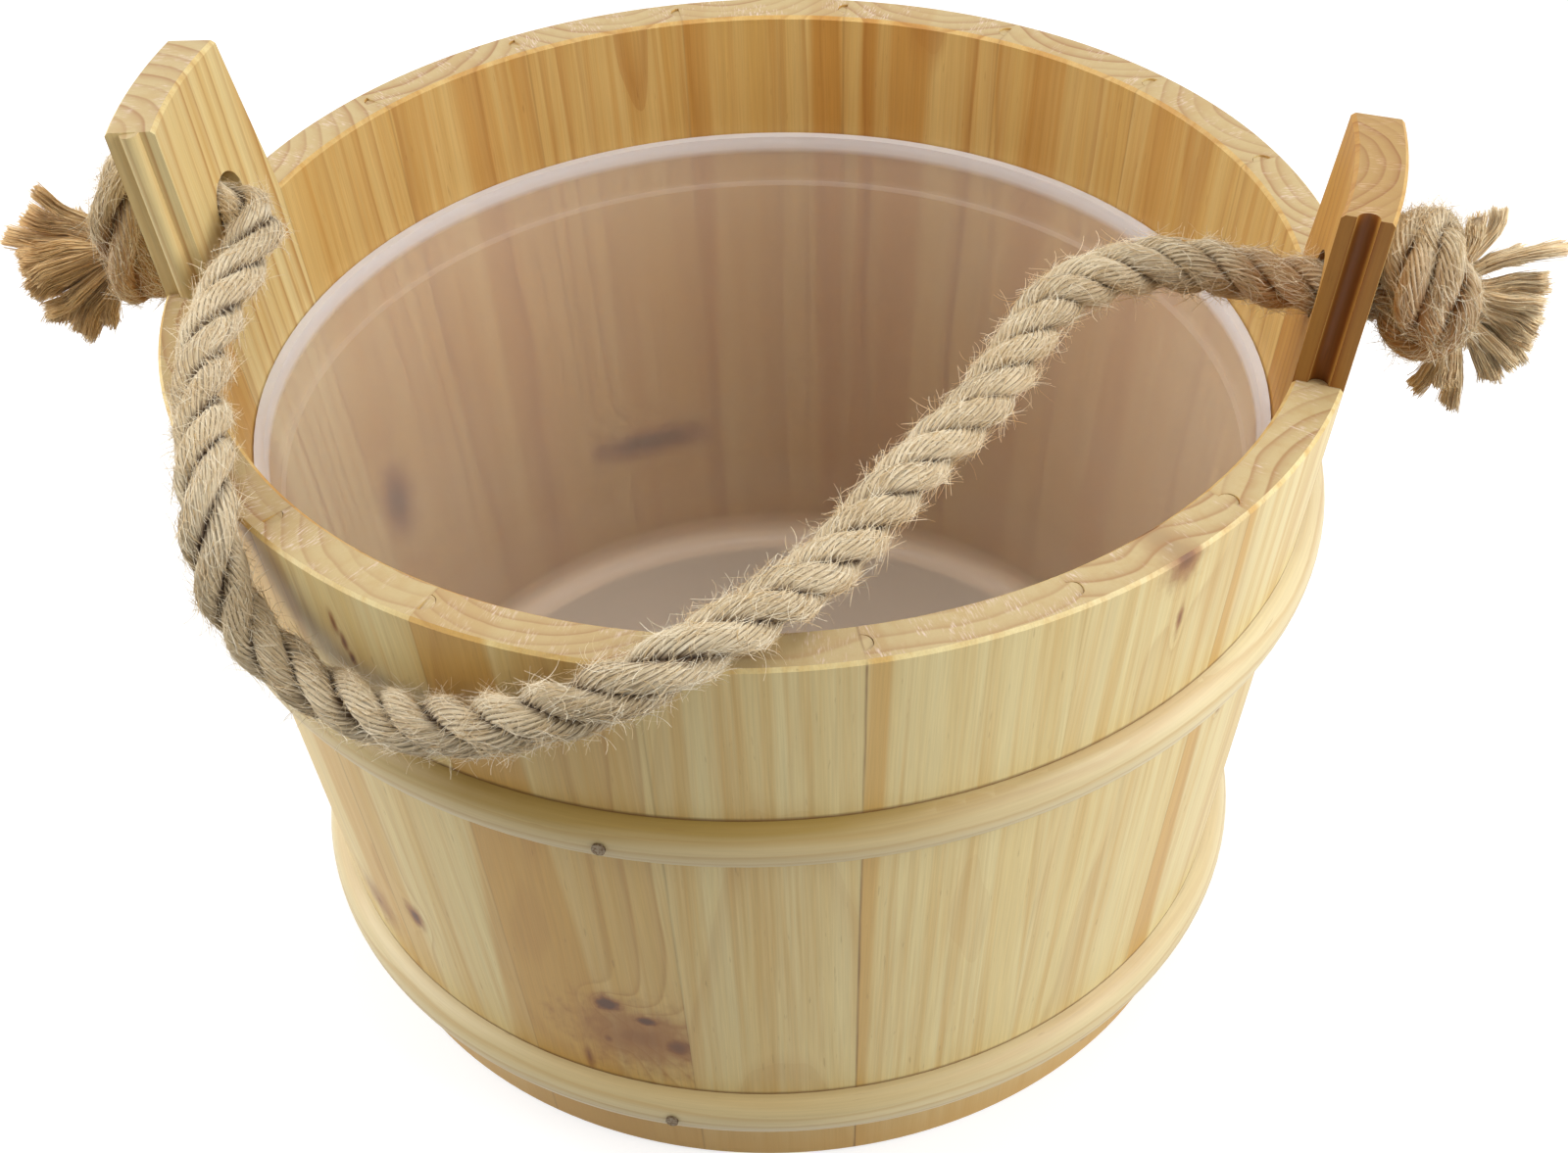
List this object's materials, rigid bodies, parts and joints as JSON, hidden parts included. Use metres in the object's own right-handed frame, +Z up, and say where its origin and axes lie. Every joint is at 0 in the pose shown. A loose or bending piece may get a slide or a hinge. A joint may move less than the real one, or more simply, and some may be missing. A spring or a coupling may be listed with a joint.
{
  "type": "wooden pail with rope handle and liner",
  "caption": "Stave-built wooden pail with raised ears, a knotted rope handle and a lift-out translucent liner.",
  "frame": {"origin": "middle of the base, on the surface that the pail stands on", "axes": "+Z up; +X from the middle to the right ear as seen from the front; -Y to the front, where the rope sags over the rim"},
  "size_m": [0.364, 0.2842, 0.222],
  "materials": {
    "stave_wood": "satin",
    "bottom_wood": "satin",
    "hoop_wood": "satin",
    "brad_steel": "brushed",
    "liner_plastic": "satin",
    "jute_rope": "matte"
  },
  "bodies": {
    "pail": {"stave_front_1": "stave_wood", "stave_front_2": "stave_wood", "stave_front_3": "stave_wood", "stave_front_4": "stave_wood", "stave_front_5": "stave_wood", "stave_front_6": "stave_wood", "stave_front_7": "stave_wood", "stave_front_8": "stave_wood", "stave_back_1": "stave_wood", "stave_back_2": "stave_wood", "stave_back_3": "stave_wood", "stave_back_4": "stave_wood", "stave_back_5": "stave_wood", "stave_back_6": "stave_wood", "stave_back_7": "stave_wood", "stave_back_8": "stave_wood", "ear_stave_left": "stave_wood", "ear_stave_right": "stave_wood", "bottom_board_1": "bottom_wood", "bottom_board_2": "bottom_wood", "bottom_board_3": "bottom_wood", "bottom_board_4": "bottom_wood", "hoop_upper": "hoop_wood", "hoop_lower": "hoop_wood", "hoop_brads": "brad_steel"},
    "rope_handle": {"rope_span": "jute_rope", "rope_knot_left": "jute_rope", "rope_tail_left": "jute_rope", "rope_knot_right": "jute_rope", "rope_tail_right": "jute_rope"},
    "liner": {"liner": "liner_plastic"}
  },
  "joints": [
    {"name": "handle_swing", "type": "hinge", "parent": "pail", "child": "rope_handle", "pos_m": [0, 0, 0.188], "axis": [-1, 0, 0], "range_deg": [0, 180]},
    {"name": "liner_lift", "type": "slide", "parent": "pail", "child": "liner", "axis": [0, 0, 1], "range_m": [0, 0.21], "deforming": ["rope_span"]}
  ]
}
